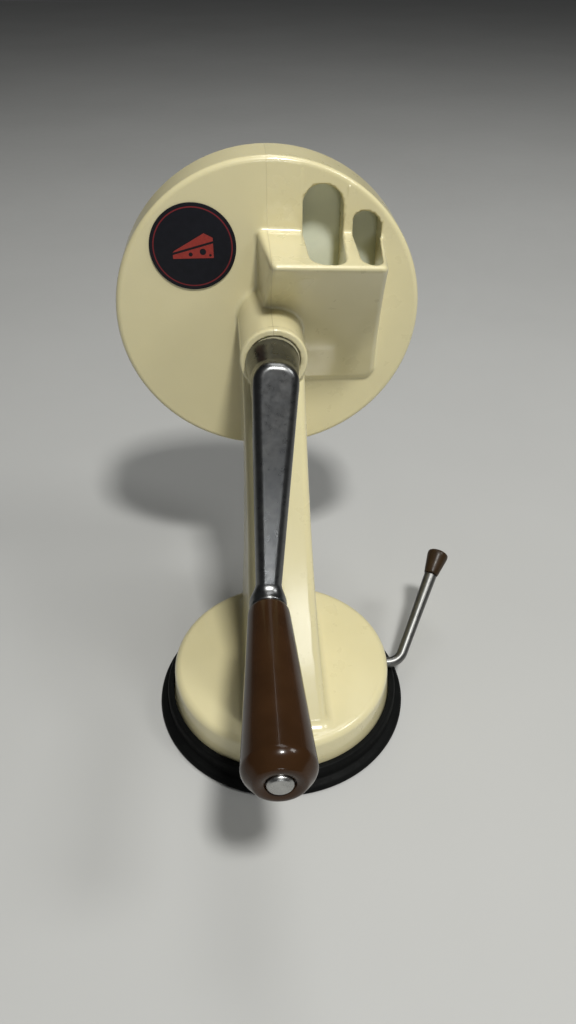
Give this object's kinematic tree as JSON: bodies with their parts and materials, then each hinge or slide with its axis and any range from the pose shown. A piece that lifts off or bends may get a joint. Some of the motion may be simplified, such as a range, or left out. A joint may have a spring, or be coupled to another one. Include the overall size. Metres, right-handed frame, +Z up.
{
  "type": "rotary cheese grater",
  "caption": "Hand-cranked rotary cheese grater: round drum with a hopper on a column, a grating disc behind, and a suction foot with a lever.",
  "frame": {"origin": "middle of the suction cup's underside, on the table", "axes": "+X to the user's right, the side with the hopper's chutes and the suction lever; +Y away from the user, along the crank shaft; +Z up"},
  "size_m": [0.1731, 0.2423, 0.2526],
  "materials": {
    "cream_plastic": "satin gloss moulding",
    "black_rubber": "slightly glossy moulded rubber",
    "brown_plastic": "polished",
    "white_plastic": "satin",
    "steel": "bright, turned or pressed",
    "cast_aluminium": "polished casting",
    "bush_plastic": "plain",
    "black_label": "printed disc"
  },
  "bodies": {
    "body": {"drum_housing": "cream_plastic", "stand": "cream_plastic", "badge": "black_label", "front_bush": "bush_plastic", "rear_bush": "bush_plastic", "suction_cup": "black_rubber"},
    "crank": {"crank_arm": "cast_aluminium", "drive_shaft": "steel", "thrust_washer": "steel", "shaft_circlip": "steel", "grip_spindle": "steel"},
    "grip": {"handle_grip": "brown_plastic"},
    "disc": {"disc_carrier": "white_plastic", "grating_insert_1": "steel", "grating_insert_2": "steel"},
    "nut": {"clamp_nut": "brown_plastic"},
    "lever": {"lever_rod": "steel", "lever_knob": "brown_plastic", "eccentric_cam": "steel", "lever_clip": "steel"},
    "cup_lift": {"lift_yoke": "steel", "cup_plate": "steel"}
  },
  "joints": [
    {"name": "crank_spin", "type": "hinge", "parent": "body", "child": "crank", "pos_m": [0, 0, 0.17764], "axis": [0, 1, 0], "continuous": true},
    {"name": "grip_spin", "type": "hinge", "parent": "crank", "child": "grip", "pos_m": [-0.00743, -0.08, 0.1005], "axis": [0, 1, 0], "continuous": true},
    {"name": "disc_removal", "type": "slide", "parent": "crank", "child": "disc", "axis": [0, 1, 0], "range_m": [0, 0.03]},
    {"name": "nut_removal", "type": "slide", "parent": "disc", "child": "nut", "axis": [0, 1, 0], "range_m": [0, 0.02]},
    {"name": "lever_turn", "type": "hinge", "parent": "body", "child": "lever", "pos_m": [0, 0, 0.018], "axis": [1, 0, 0], "range_deg": [0, 120]},
    {"name": "cup_lift", "type": "slide", "parent": "body", "child": "cup_lift", "axis": [0, 0, 1], "range_m": [0, 0.00417]}
  ],
  "couplings": [
    {"joint": "cup_lift", "follows": "lever_turn", "m_per_rad": 0.001985}
  ]
}
